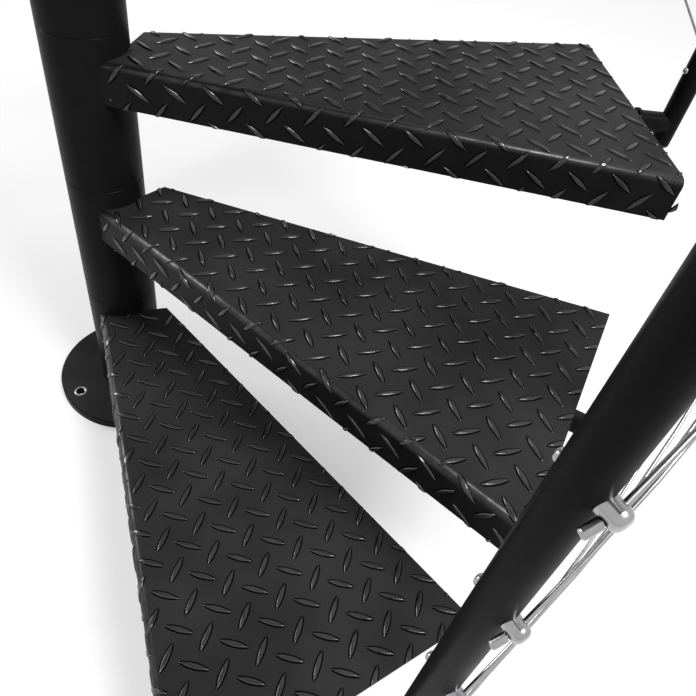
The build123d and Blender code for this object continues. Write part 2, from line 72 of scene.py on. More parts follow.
class ShaderTree:
    """A material being wired, with its principled surface and output in place."""

    def __init__(self, name: str) -> None:
        """Starts a material.

        Args:
            name: The material's name.
        """
        self.material = bpy.data.materials.new(name)
        self.material.use_nodes = True
        self.tree = self.material.node_tree
        self.tree.nodes.clear()
        self.output = self.add("ShaderNodeOutputMaterial")
        self.surface = self.add("ShaderNodeBsdfPrincipled")
        self.tree.links.new(self.surface.outputs["BSDF"], self.output.inputs["Surface"])
        self.place = self.add("ShaderNodeTexCoord").outputs["Object"]

    def add(self, kind: str) -> bpy.types.Node:
        """Returns a new node of a kind."""
        return self.tree.nodes.new(kind)

    def feed(self, socket: bpy.types.NodeSocket, value: object) -> None:
        """Links a socket into an input, or writes a plain value on it.

        Args:
            socket: The input.
            value: An output socket, a number or a tuple.
        """
        if isinstance(value, bpy.types.NodeSocket):
            self.tree.links.new(value, socket)
        elif isinstance(value, tuple) and len(value) == 3 and socket.type == "RGBA":
            socket.default_value = (*value, 1.0)
        else:
            socket.default_value = value

    def math(self, operation: str, *values: object) -> bpy.types.NodeSocket:
        """Does arithmetic on up to three values.

        Args:
            operation: Blender's name of the operation.
            values: Sockets or numbers.

        Returns:
            The result's socket.
        """
        node = self.add("ShaderNodeMath")
        node.operation = operation
        for socket, value in zip(node.inputs, values):
            self.feed(socket, value)
        return node.outputs[0]

    def noise(
        self,
        size: float,
        detail: float = 3.0,
        place: Optional[bpy.types.NodeSocket] = None,
        stretch: tuple[float, float, float] = (1.0, 1.0, 1.0),
    ) -> bpy.types.NodeSocket:
        """Makes a noise field with features of a real size.

        Args:
            size: Width of the features in metres.
            detail: Octaves.
            place: Coordinates to use, or the object's own.
            stretch: Factor on the scale of each axis.

        Returns:
            The noise factor, from 0 to 1 about 0.5.
        """
        mapping = self.add("ShaderNodeMapping")
        self.feed(mapping.inputs["Vector"], place or self.place)
        mapping.inputs["Scale"].default_value = stretch
        node = self.add("ShaderNodeTexNoise")
        self.feed(node.inputs["Vector"], mapping.outputs[0])
        node.inputs["Scale"].default_value = 1.0 / size
        node.inputs["Detail"].default_value = detail
        return node.outputs["Fac"]

    def span(
        self, value: bpy.types.NodeSocket, low: float, high: float, to_low: float, to_high: float
    ) -> bpy.types.NodeSocket:
        """Maps a range of values onto another, clamped at both ends.

        Args:
            value: The value.
            low: Start of the range.
            high: End of the range.
            to_low: What the start becomes.
            to_high: What the end becomes.

        Returns:
            The mapped value.
        """
        node = self.add("ShaderNodeMapRange")
        node.clamp = True
        self.feed(node.inputs["Value"], value)
        for name, number in (("From Min", low), ("From Max", high), ("To Min", to_low), ("To Max", to_high)):
            node.inputs[name].default_value = number
        return node.outputs["Result"]

    def blend(self, factor: object, first: object, second: object) -> bpy.types.NodeSocket:
        """Mixes two colours.

        Args:
            factor: 0 gives the first, 1 the second.
            first: Colour or socket.
            second: Colour or socket.

        Returns:
            The mixed colour.
        """
        node = self.add("ShaderNodeMix")
        node.data_type = "RGBA"
        self.feed(node.inputs["Factor"], factor)
        self.feed(node.inputs[MIX_FIRST], first)
        self.feed(node.inputs[MIX_SECOND], second)
        return node.outputs[MIX_RESULT]

    def bump(
        self, height: bpy.types.NodeSocket, depth: float, below: Optional[bpy.types.NodeSocket] = None
    ) -> bpy.types.NodeSocket:
        """Turns a height into a bumped normal.

        Args:
            height: Height from 0 to 1.
            depth: Real depth of the relief in metres.
            below: A normal to add to.

        Returns:
            The normal.
        """
        node = self.add("ShaderNodeBump")
        node.inputs["Strength"].default_value = 1.0
        node.inputs["Distance"].default_value = depth
        self.feed(node.inputs["Height"], height)
        if below is not None:
            self.feed(node.inputs["Normal"], below)
        return node.outputs["Normal"]

    def attribute(self, name: str) -> bpy.types.NodeSocket:
        """Returns a mesh attribute's factor."""
        node = self.add("ShaderNodeAttribute")
        node.attribute_name = name
        return node.outputs["Fac"]

    def upward(self) -> bpy.types.NodeSocket:
        """Returns how far the surface looks up: 1 on level faces, 0 on upright ones."""
        split = self.add("ShaderNodeSeparateXYZ")
        self.tree.links.new(self.add("ShaderNodeNewGeometry").outputs["Normal"], split.inputs[0])
        return split.outputs[UPWARD_PART]

    def flight_place(self, rise_a_turn: float) -> bpy.types.NodeSocket:
        """Makes coordinates that run with the flight: radius, height off the helix, turn.

        Args:
            rise_a_turn: Height that the flight climbs in a full turn, in metres.

        Returns:
            The coordinates.
        """
        parts = self.add("ShaderNodeSeparateXYZ")
        self.feed(parts.inputs[0], self.place)
        turn = self.math("ARCTAN2", parts.outputs["Y"], parts.outputs["X"])
        lift = self.math("MULTIPLY", turn, rise_a_turn / math.tau)
        across = self.math("SUBTRACT", parts.outputs["Z"], lift)
        squares = [self.math("POWER", parts.outputs[axis], 2.0) for axis in ("X", "Y")]
        square = self.math("ADD", *squares)
        joined = self.add("ShaderNodeCombineXYZ")
        self.feed(joined.inputs[0], self.math("SQRT", square))
        self.feed(joined.inputs[1], across)
        self.feed(joined.inputs[2], turn)
        return joined.outputs[0]


# ---------------------------------------------------------------- finishes


@dataclass(frozen=True)
class CoatFinish:
    """Black powder coat on steel, with its orange peel, cloudy gloss and fine dust, a painted lighter colour
    on faces that look up and painted shade at the foot of the lugs.
    """

    name: str
    colour: tuple[float, float, float]
    cloud_colour: tuple[float, float, float]
    roughness: float
    roughness_spread: float
    specular: float = 0.18
    peel_size: float = 0.0011
    peel_depth: float = 0.000035
    wave_size: float = 0.030
    wave_depth: float = 0.00012
    dust_colour: tuple[float, float, float] = (0.20, 0.20, 0.195)
    dust_amount: float = 0.35
    # Painted light: a lighter colour laid on faces that look up, a painted sheen standing for the overhead
    # light, and how strongly it is laid on.
    painted_top_light: float = 0.0
    painted_top_light_colour: tuple[float, float, float] = (0.030, 0.030, 0.0302)
    nosing_gloss: float = 0.0
    crown_wear: float = 0.0
    # Painted shade: near-black colour at the foot of the lugs and on the thin skirt round them.
    painted_foot_shade_colour: tuple[float, float, float] = (0.0008, 0.0008, 0.0008)

    def material(self) -> bpy.types.Material:
        """Builds the coat.

        Returns:
            The material.
        """
        shader = ShaderTree(self.name)
        cloud = shader.noise(0.045, 5.0)
        fine = shader.noise(self.peel_size, 2.0)
        colour = shader.blend(shader.span(cloud, 0.35, 0.68, 0.0, 1.0), self.colour, self.cloud_colour)
        speck = shader.span(shader.noise(0.0009, 1.0), 0.80, 0.84, 0.0, self.dust_amount)
        patch = shader.span(shader.noise(0.060, 3.0), 0.50, 0.66, 0.0, 1.0)
        colour = shader.blend(shader.math("MULTIPLY", speck, patch), colour, self.dust_colour)
        scuff = shader.span(shader.noise(0.010, 6.0, stretch=(1.0, 0.22, 1.0)), 0.60, 0.72, 0.0, 1.0)
        smoother = self.roughness - self.roughness_spread
        rougher = self.roughness + self.roughness_spread
        rough = shader.span(cloud, 0.30, 0.70, smoother, rougher)
        rough = shader.math("ADD", rough, shader.math("MULTIPLY", scuff, 0.05))
        gloss: object = self.specular
        if self.painted_top_light > 0.0:
            # Painted light: faces that look up take a lighter colour, a painted sheen standing for the
            # overhead light, varied by a random drift; the bends also get more gloss.
            level = shader.upward()
            top_light_mask = shader.span(level, 0.90, 0.995, 0.0, self.painted_top_light)
            drift = shader.span(shader.noise(0.11, 3.0), 0.34, 0.66, 0.74, 1.22)
            tone = shader.add("ShaderNodeVectorMath")
            tone.operation = "SCALE"
            tone.inputs[0].default_value = self.painted_top_light_colour
            shader.feed(tone.inputs["Scale"], drift)
            colour = shader.blend(top_light_mask, colour, tone.outputs[0])
            rough = shader.math("ADD", rough, shader.math("MULTIPLY", top_light_mask, 0.06))
            off_upright = shader.span(level, 0.25, 0.62, 0.0, 1.0)
            off_level = shader.span(level, 0.93, 0.985, 1.0, 0.0)
            rubbed = shader.math("MULTIPLY", off_upright, off_level)
            uneven = shader.span(shader.noise(0.018, 3.0), 0.35, 0.60, 0.45, 1.0)
            rubbed = shader.math("MULTIPLY", rubbed, uneven)
            rough = shader.math("SUBTRACT", rough, shader.math("MULTIPLY", rubbed, 0.14))
            gloss = shader.math("ADD", shader.math("MULTIPLY", rubbed, self.nosing_gloss), self.specular)
        if self.crown_wear > 0.0:
            # Painted shade: the lug's foot and its skirt go near black with little gloss, standing for the
            # shade round each lug; the crowns are worn smoother.
            crown = shader.attribute("crown")
            foot = shader.span(crown, 0.10, 0.42, 1.0, 0.0)
            colour = shader.blend(foot, colour, self.painted_foot_shade_colour)
            gloss = shader.math("MULTIPLY", gloss, shader.span(crown, 0.02, 0.30, 0.05, 1.0))
            worn = shader.math("MULTIPLY", shader.span(crown, 0.2, 0.9, 0.0, 1.0), self.crown_wear)
            rough = shader.math("SUBTRACT", rough, worn)
        relief = shader.bump(fine, self.peel_depth)
        relief = shader.bump(shader.noise(self.wave_size, 2.0), self.wave_depth, relief)
        shader.feed(shader.surface.inputs["Base Color"], colour)
        shader.feed(shader.surface.inputs["Roughness"], rough)
        shader.feed(shader.surface.inputs["Normal"], relief)
        shader.feed(shader.surface.inputs["Specular IOR Level"], gloss)
        return shader.material


@dataclass(frozen=True)
class SteelFinish:
    """Satin stainless steel with fine lines."""

    name: str
    brushing: Brushing
    colour: tuple[float, float, float] = (0.42, 0.42, 0.425)
    shade_colour: tuple[float, float, float] = (0.29, 0.29, 0.295)
    roughness: float = 0.24
    roughness_spread: float = 0.07
    line_size: float = 0.00035
    line_depth: float = 0.000012
    rise_a_turn: float = 2.4

    def material(self) -> bpy.types.Material:
        """Builds the steel.

        Returns:
            The material.
        """
        shader = ShaderTree(self.name)
        if self.brushing is Brushing.ALONG_FLIGHT:
            place = shader.flight_place(self.rise_a_turn)
            lines = shader.noise(self.line_size, 4.0, place, (1.0, 1.0, 0.02))
        else:
            lines = shader.noise(self.line_size, 4.0, None, (1.0, 1.0, 0.35))
        cloud = shader.noise(0.012, 4.0)
        mark = shader.math("ADD", shader.math("MULTIPLY", lines, 0.6), shader.math("MULTIPLY", cloud, 0.4))
        tone = shader.blend(shader.span(mark, 0.32, 0.66, 0.0, 1.0), self.shade_colour, self.colour)
        shader.feed(shader.surface.inputs["Base Color"], tone)
        smoother = self.roughness - self.roughness_spread
        rougher = self.roughness + self.roughness_spread
        rough = shader.span(mark, 0.30, 0.70, smoother, rougher)
        shader.feed(shader.surface.inputs["Roughness"], rough)
        shader.feed(shader.surface.inputs["Normal"], shader.bump(lines, self.line_depth))
        shader.surface.inputs["Metallic"].default_value = 1.0
        return shader.material


# The coats below lay painted light, a lighter colour, on faces that look up; the lug coat also lays painted
# shade at the foot of each lug.
TREAD_COAT = CoatFinish(
    "satin_black_tread_coat",
    colour=(0.0062, 0.0062, 0.0064),
    cloud_colour=(0.0092, 0.0092, 0.0094),
    roughness=0.42,
    roughness_spread=0.05,
    specular=0.05,
    painted_top_light=0.8,
    nosing_gloss=0.45,
)
LUG_COAT = CoatFinish(
    "satin_black_lug_coat",
    colour=(0.0080, 0.0080, 0.0083),
    cloud_colour=(0.0125, 0.0125, 0.0128),
    roughness=0.29,
    roughness_spread=0.05,
    specular=0.42,
    painted_top_light=0.75,
    nosing_gloss=0.5,
    crown_wear=0.08,
)
COLUMN_COAT = CoatFinish(
    "satin_black_column_coat",
    colour=(0.0072, 0.0072, 0.0074),
    cloud_colour=(0.0098, 0.0098, 0.0100),
    roughness=0.38,
    roughness_spread=0.04,
    specular=0.03,
    peel_depth=0.00002,
    painted_top_light=0.8,
)
GUARD_COAT = CoatFinish(
    "satin_black_guard_coat",
    colour=(0.0050, 0.0050, 0.0051),
    cloud_colour=(0.0072, 0.0072, 0.0073),
    roughness=0.38,
    roughness_spread=0.05,
    specular=0.034,
    peel_depth=0.00002,
)
PLASTIC = CoatFinish(
    "matt_black_plastic",
    colour=(0.009, 0.009, 0.0092),
    cloud_colour=(0.013, 0.013, 0.0132),
    roughness=0.5,
    roughness_spread=0.05,
    specular=0.2,
    peel_size=0.0006,
    wave_depth=0.00003,
)
ROD_STEEL = SteelFinish("satin_rod_steel", Brushing.ALONG_FLIGHT)
TURNED_STEEL = SteelFinish(
    "turned_fitting_steel",
    Brushing.TURNED,
    roughness=0.21,
    roughness_spread=0.04,
    line_depth=0.000003,
)


# ---------------------------------------------------------------- mesh helpers


def finish_piece(
    name: str, mesh: bpy.types.Mesh, material: bpy.types.Material, crease: float = 40.0
) -> bpy.types.Object:
    """Puts a mesh in the scene as a piece that rides on the stair.

    Args:
        name: The piece's name.
        mesh: Its mesh, in the stair's frame.
        material: Its finish.
        crease: Angle in degrees from which an edge is sharp.

    Returns:
        The object.
    """
    mesh.materials.append(material)
    mesh.polygons.foreach_set("use_smooth", [True] * len(mesh.polygons))
    mesh.set_sharp_from_angle(angle=math.radians(crease))
    piece = bpy.data.objects.new(name, mesh)
    bpy.context.scene.collection.objects.link(piece)
    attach(piece, ROOT)
    LOG.info("piece %s: %d faces", name, len(mesh.polygons))
    return piece


def dress_nodes(names: Iterable[str], material: bpy.types.Material) -> None:
    """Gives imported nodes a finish.

    Args:
        names: Their names.
        material: The finish.
    """
    for name in names:
        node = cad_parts[name]
        node.data.materials.clear()
        node.data.materials.append(material)
        LOG.info("node %s dressed in %s", name, material.name)


def soften_edges(names: Iterable[str], width: float, angle: float = 35.0) -> None:
    """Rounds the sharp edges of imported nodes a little, so that they catch the light.

    Args:
        names: Their names.
        width: Width of the rounding in metres.
        angle: Angle in degrees from which an edge is rounded.
    """
    for name in names:
        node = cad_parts[name]
        weld = node.modifiers.new("join_faces", "WELD")
        weld.merge_threshold = 0.00001
        bevel = node.modifiers.new("soft_edges", "BEVEL")
        bevel.width = width
        bevel.segments = 2
        bevel.limit_method = "ANGLE"
        bevel.angle_limit = math.radians(angle)
        bevel.harden_normals = True


def turned_shape(
    profile: Sequence[tuple[float, float]], sides: int, place: Matrix, target: bmesh.types.BMesh
) -> None:
    """Adds a closed turned shape to a mesh.

    Args:
        profile: (radius, height) of each ring; a radius of 0 closes the shape.
        sides: Sides of a ring.
        place: Where the shape goes, its axis along Z.
        target: The mesh it is added to.
    """
    rings: list[list[bmesh.types.BMVert]] = []
    for radius, height in profile:
        if radius <= 0.0:
            rings.append([target.verts.new(place @ Vector((0.0, 0.0, height)))])
            continue
        turns = [math.tau * side / sides for side in range(sides)]
        spots = [Vector((radius * math.cos(turn), radius * math.sin(turn), height)) for turn in turns]
        rings.append([target.verts.new(place @ spot) for spot in spots])
    for low, high in zip(rings, rings[1:]):
        for side in range(sides):
            other = (side + 1) % sides
            if len(low) == 1:
                target.faces.new((low[0], high[other], high[side]))
            elif len(high) == 1:
                target.faces.new((low[side], low[other], high[0]))
            else:
                target.faces.new((low[side], low[other], high[other], high[side]))


# ---------------------------------------------------------------- chequer plate


@dataclass(frozen=True)
class Fold:
    """An edge of a plate bent down, given by its outer face."""

    start: Vector
    inward: Vector
    radius: float
    depth: float

    def run(self) -> float:
        """Returns how far the flat sheet reaches past the start of the bend."""
        return self.radius * math.pi / 2 + self.depth - self.radius

    def bend(self, flat: Vector, height: float) -> Optional[Vector]:
        """Bends a point of the flat sheet over the edge.

        Args:
            flat: The point on the flat sheet, as (x, y).
            height: Height above the sheet's skin.

        Returns:
            The point in space, or None where the sheet is still flat.
        """
        reach = (flat - self.start).dot(self.inward)
        past = self.radius - reach
        if past <= 0.0:
            return None
        base = flat - self.inward * reach
        turn = min(past / self.radius, math.pi / 2)
        down = max(0.0, past - self.radius * math.pi / 2)
        out = (self.radius + height) * math.sin(turn)
        level = -self.radius + (self.radius + height) * math.cos(turn) - down
        spot = base + self.inward * (self.radius - out)
        return Vector((spot.x, spot.y, level))

    def foot_cut(self) -> tuple[Vector, Vector]:
        """Returns the flat sheet's last line as (point, outward normal)."""
        return self.start - self.inward * (self.run() - self.radius), -self.inward


@dataclass(frozen=True)
class LugPattern:
    """Lattice of the raised lugs: each points at the middle of its neighbours, which lie across it."""

    origin: tuple[float, float]
    along: float = 0.0438
    across: float = 0.0438
    turn: float = 0.0

    def steps(self) -> tuple[Vector, Vector]:
        """Returns the two steps from a lug to its neighbours."""
        spin = Matrix.Rotation(math.radians(self.turn), 2)
        return (
            spin @ Vector((self.along / 2, self.across / 2)),
            spin @ Vector((self.along / 2, -self.across / 2)),
        )


@dataclass(frozen=True)
class Lug:
    """One raised lug of chequer plate.

    It is flat on top, steep at its sides and narrow at both ends, with a thin skirt round its foot that
    carries painted shade.
    """

    length: float = 0.0318
    width: float = 0.0058
    height: float = 0.0017
    sink: float = 0.0004
    shade_skirt_width: float = 0.0012
    shade_skirt_level: float = 0.00005
    flank: float = 0.0009
    shoulder: float = 0.0004
    stations: int = 8

    def section(self, half: float, rise: float) -> list[tuple[float, float, float]]:
        """Shapes one half of the lug's section, from its buried edge to its top.

        Args:
            half: Half width of the lug at its foot.
            rise: Height of its top.

        Returns:
            Points as (distance from the middle, height, crown).
        """
        flank = min(self.flank, 0.75 * half)
        shoulder = min(self.shoulder, 0.2 * half)
        # The first three points make a thin skirt round the foot, which carries painted shade.
        return [
            (half + self.shade_skirt_width, -self.sink, 0.0),
            (half + self.shade_skirt_width, self.shade_skirt_level, 0.0),
            (half, self.shade_skirt_level, 0.0),
            (half - 0.35 * flank, 0.60 * rise, 0.6),
            (half - flank, 0.96 * rise, 0.96),
            (half - flank - shoulder, rise, 1.0),
        ]

    def grid(self) -> tuple[list[tuple[float, float, float, float]], list[tuple[int, ...]]]:
        """Shapes the lug on the flat.

        Returns:
            Its points as (along, across, height, crown) and its faces.
        """
        points: list[tuple[float, float, float, float]] = []
        rows: list[list[int]] = []
        for station in range(1, self.stations):
            t = math.sin((station / self.stations - 0.5) * math.pi * 0.98) / math.sin(0.49 * math.pi)
            half = self.width / 2 * (1.0 - t * t) ** 0.8
            rise = self.height * (1.0 - abs(t) ** 8) ** 0.8
            section = self.section(half, rise)
            row = []
            for sign, steps in ((-1.0, section), (1.0, section[::-1])):
                for across, level, crown in steps:
                    row.append(len(points))
                    points.append((t * self.length / 2, sign * across, level, crown))
            rows.append(row)
        faces: list[tuple[int, ...]] = []
        for low, high in zip(rows, rows[1:]):
            for a, b, c, d in zip(low, high, high[1:], low[1:]):
                faces.append((a, b, c, d))
            faces.append((low[-1], high[-1], high[0], low[0]))
        for row, end in ((rows[0], -1.0), (rows[-1], 1.0)):
            reach = end * (self.length / 2 + self.shade_skirt_width)
            lip, tip = len(points), len(points) + 1
            points.append((reach, 0.0, self.shade_skirt_level, 0.0))
            points.append((reach, 0.0, -self.sink, 0.0))
            upper = row[1:-1]
            for a, b in zip(upper, upper[1:]):
                faces.append((lip, a, b))
            faces.extend([(tip, row[0], row[1], lip), (lip, row[-2], row[-1], tip), (tip, row[-1], row[0])])
        return points, faces


@dataclass
class ChequerSheet:
    """The lugs over one plate, worked out on the flat sheet, cut at its edges and bent with it."""

    name: str
    pattern: LugPattern
    folds: Sequence[Fold]
    cuts: Sequence[tuple[Vector, Vector]]
    reach: tuple[Vector, Vector]
    place: Matrix
    lug: Lug = field(default_factory=Lug)

    def _lay_out(self) -> tuple[list[Vector], list[float], list[tuple[int, ...]]]:
        """Lays the lugs on the flat sheet.

        Returns:
            Points, their crown values and faces.
        """
        shape, shape_faces = self.lug.grid()
        first, second = self.pattern.steps()
        origin = Vector(self.pattern.origin)
        low, high = self.reach
        farthest = max((high - low).length, (origin - low).length, (origin - high).length)
        span = int(2.2 * farthest / self.pattern.along) + 2
        points: list[Vector] = []
        crowns: list[float] = []
        faces: list[tuple[int, ...]] = []
        for i in range(-span, span + 1):
            for j in range(-span, span + 1):
                centre = origin + first * i + second * j
                if not (low.x < centre.x < high.x and low.y < centre.y < high.y):
                    continue
                if any((centre - point).dot(out) > self.lug.length / 2 for point, out in self.cuts):
                    continue
                way = (second if (i + j) % 2 == 0 else first).normalized()
                side = Vector((-way.y, way.x))
                start = len(points)
                for a, b, h, crown in shape:
                    spot = centre + way * a + side * b
                    points.append(Vector((spot.x, spot.y, h)))
                    crowns.append(crown)
                faces.extend(tuple(start + index for index in face) for face in shape_faces)
        return points, crowns, faces

    def build(self, material: bpy.types.Material, slot: Slot) -> bpy.types.Object:
        """Builds the lugs as one piece.

        Args:
            material: Their finish.
            slot: The record's material slot; not used.

        Returns:
            The piece.
        """
        points, crowns, faces = self._lay_out()
        flat = bmesh.new()
        layer = flat.verts.layers.float.new("crown")
        verts = [flat.verts.new(point) for point in points]
        for vert, crown in zip(verts, crowns):
            vert[layer] = crown
        for face in faces:
            flat.faces.new([verts[index] for index in face])
        for point, out in self.cuts:
            everything = [*flat.verts, *flat.edges, *flat.faces]
            bmesh.ops.bisect_plane(
                flat,
                geom=everything,
                dist=1e-7,
                plane_co=(point.x, point.y, 0.0),
                plane_no=(out.x, out.y, 0.0),
                clear_outer=True,
            )
            open_edges = [edge for edge in flat.edges if edge.is_boundary]
            bmesh.ops.holes_fill(flat, edges=open_edges, sides=0)
        bmesh.ops.recalc_face_normals(flat, faces=flat.faces)
        for vert in flat.verts:
            spot = Vector((vert.co.x, vert.co.y))
            level = vert.co.z
            for fold in self.folds:
                bent = fold.bend(spot, level)
                if bent is not None:
                    vert.co = bent
                    break
            vert.co = self.place @ vert.co
        mesh = bpy.data.meshes.new(self.name)
        flat.to_mesh(mesh)
        flat.free()
        return finish_piece(self.name, mesh, material, 62.0)


# ---------------------------------------------------------------- sub-assemblies


@dataclass
class Flight:
    """The twelve treads: their plates, ribs and chequer lugs."""

    treads: int = 12
    step_angle: float = 30.0
    half_angle: float = 11.8
    edge_offset: float = 0.0382
    reach: float = 0.671
    bend_radius: float = 0.010
    flange_depth: float = 0.052
    root_front: tuple[float, float] = (0.049, 0.014)
    root_back: tuple[float, float] = (0.058, 0.051)
    seed: int = 11

    def pattern_of(self, number: int, chance: random.Random) -> LugPattern:
        """Says where the lugs lie on a tread.

        Args:
            number: The tread's number, from 1.
            chance: Source of the upper treads' offsets, as each is cut from a large sheet.

        Returns:
            The pattern in the tread's own axes.
        """
        lowest = {
            1: LugPattern((0.3781, 0.0433), 0.0415, 0.0449, 0.3),
            2: LugPattern((0.5545, 0.0018), 0.0452, 0.0417, 0.3),
            3: LugPattern((0.6593, 0.0370), 0.0456, 0.0437, -1.7),
        }
        free = LugPattern((0.4 + chance.uniform(-0.022, 0.022), chance.uniform(-0.022, 0.022)))
        return lowest.get(number, free)

    def place_of(self, number: int) -> Matrix:
        """Returns where a tread's own axes stand."""
        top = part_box(f"tread_{number:02d}")[1].z
        turn = math.radians(self.step_angle * (number - 1))
        return Matrix.Translation((0.0, 0.0, top)) @ Matrix.Rotation(turn, 4, "Z")

    def build(self, coat: bpy.types.Material, lug_coat: bpy.types.Material) -> None:
        """Dresses the plates and lays the lugs.

        Args:
            coat: Finish of the plates.
            lug_coat: Finish of the lugs.
        """
        names = [f"tread_{number:02d}" for number in range(1, self.treads + 1)]
        dress_nodes([*names, "tread_ribs"], coat)
        soften_edges(names, EDGE_ROUNDING)
        lean = math.radians(self.half_angle)
        inward = Vector((math.sin(lean), math.cos(lean)))
        fold = Fold(inward * -self.edge_offset, inward, self.bend_radius, self.flange_depth)
        back = Vector((-math.sin(lean), math.cos(lean)))
        front, rear = Vector(self.root_front), Vector(self.root_back)
        root_way = (rear - front).normalized()
        cuts = [
            (Vector((self.reach - EDGE_MARGIN, 0.0)), Vector((1.0, 0.0))),
            (back * (self.edge_offset - EDGE_MARGIN), back),
            fold.foot_cut(),
            (front, Vector((-root_way.y, root_way.x))),
        ]
        chance = random.Random(self.seed)
        for number in range(1, self.treads + 1):
            sheet = ChequerSheet(
                f"tread_{number:02d}_lugs",
                self.pattern_of(number, chance),
                [fold],
                cuts,
                (Vector((0.0, -0.28)), Vector((self.reach + SHEET_MARGIN, 0.22))),
                self.place_of(number),
            )
            sheet.build(lug_coat, Slot.TREAD_COAT)


@dataclass
class Landing:
    """The landing plate with its ribs and chequer lugs."""

    turn: float = -11.8
    edge_offset: float = 0.0382
    reach: float = 0.745
    bend_radius: float = 0.010
    flange_depth: float = 0.052

    def build(self, coat: bpy.types.Material, lug_coat: bpy.types.Material) -> None:
        """Dresses the plate and lays the lugs.

        Args:
            coat: Finish of the plate.
            lug_coat: Finish of the lugs.
        """
        dress_nodes(["landing_plate", "landing_ribs"], coat)
        soften_edges(["landing_plate"], EDGE_ROUNDING)
        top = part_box("landing_plate")[1].z
        bend = (self.bend_radius, self.flange_depth)
        stair_edge = Fold(Vector((0.0, -self.edge_offset)), Vector((0.0, 1.0)), *bend)
        well_edge = Fold(Vector((-self.edge_offset, 0.0)), Vector((1.0, 0.0)), *bend)
        cuts = [
            (Vector((self.reach - EDGE_MARGIN, 0.0)), Vector((1.0, 0.0))),
            (Vector((0.0, self.reach - EDGE_MARGIN)), Vector((0.0, 1.0))),
            stair_edge.foot_cut(),
            well_edge.foot_cut(),
            (Vector((0.012, 0.012)), Vector((-1.0, -1.0)).normalized()),
        ]
        sheet = ChequerSheet(
            "landing_lugs",
            LugPattern((0.372, 0.368)),
            [stair_edge, well_edge],
            cuts,
            (Vector((-0.12, -0.12)), Vector((self.reach + SHEET_MARGIN, self.reach + SHEET_MARGIN))),
            Matrix.Translation((0.0, 0.0, top)) @ Matrix.Rotation(math.radians(self.turn), 4, "Z"),
        )
        sheet.build(lug_coat, Slot.TREAD_COAT)


@dataclass
class Column:
    """The column: base flange, pole, sleeves and cap, with the worn rings of the floor bolts."""

    sleeves: int = 13
    bolt_circle: float = 0.0975
    bolt_turn: float = 8.0
    bolts: int = 4
    hole_radius: float = 0.007
    ring_radius: float = 0.0094
    ring_height: float = 0.0003
    ring_sink: float = 0.0006
    ring_slope: float = 0.0006
    ring_rim: float = 0.0004
    hole_gap: float = 0.0001

    def build(self, coat: bpy.types.Material, plastic: bpy.types.Material, steel: bpy.types.Material) -> None:
        """Dresses the column and lays the worn rings.

        Args:
            coat: Finish of the steel.
            plastic: Finish of the cap.
            steel: Finish of bare steel.
        """
        names = [f"column_sleeve_{number:02d}" for number in range(1, self.sleeves + 1)]
        dress_nodes([*names, "column_top_sleeve", "centre_pole", "base_flange"], coat)
        dress_nodes(["column_cap"], plastic)
        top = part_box("base_flange")[1].z
        rings = bmesh.new()
        profile = [
            (self.hole_radius + self.hole_gap, -self.ring_sink),
            (self.ring_radius + self.ring_slope, -self.ring_sink),
            (self.ring_radius + self.ring_rim, self.ring_height * 0.3),
            (self.ring_radius, self.ring_height),
            (self.hole_radius + self.ring_slope, self.ring_height),
            (self.hole_radius + self.hole_gap, self.ring_height * 0.3),
            (self.hole_radius + self.hole_gap, -self.ring_sink),
        ]
        for bolt in range(self.bolts):
            turn = math.radians(self.bolt_turn + bolt * 360.0 / self.bolts)
            spot = (self.bolt_circle * math.cos(turn), self.bolt_circle * math.sin(turn), top)
            turned_shape(profile, 40, Matrix.Translation(spot), rings)
        bmesh.ops.remove_doubles(rings, verts=rings.verts, dist=1e-6)
        bmesh.ops.recalc_face_normals(rings, faces=rings.faces)
        mesh = bpy.data.meshes.new("bolt_hole_rings")
        rings.to_mesh(mesh)
        rings.free()
        finish_piece("bolt_hole_rings", mesh, steel)


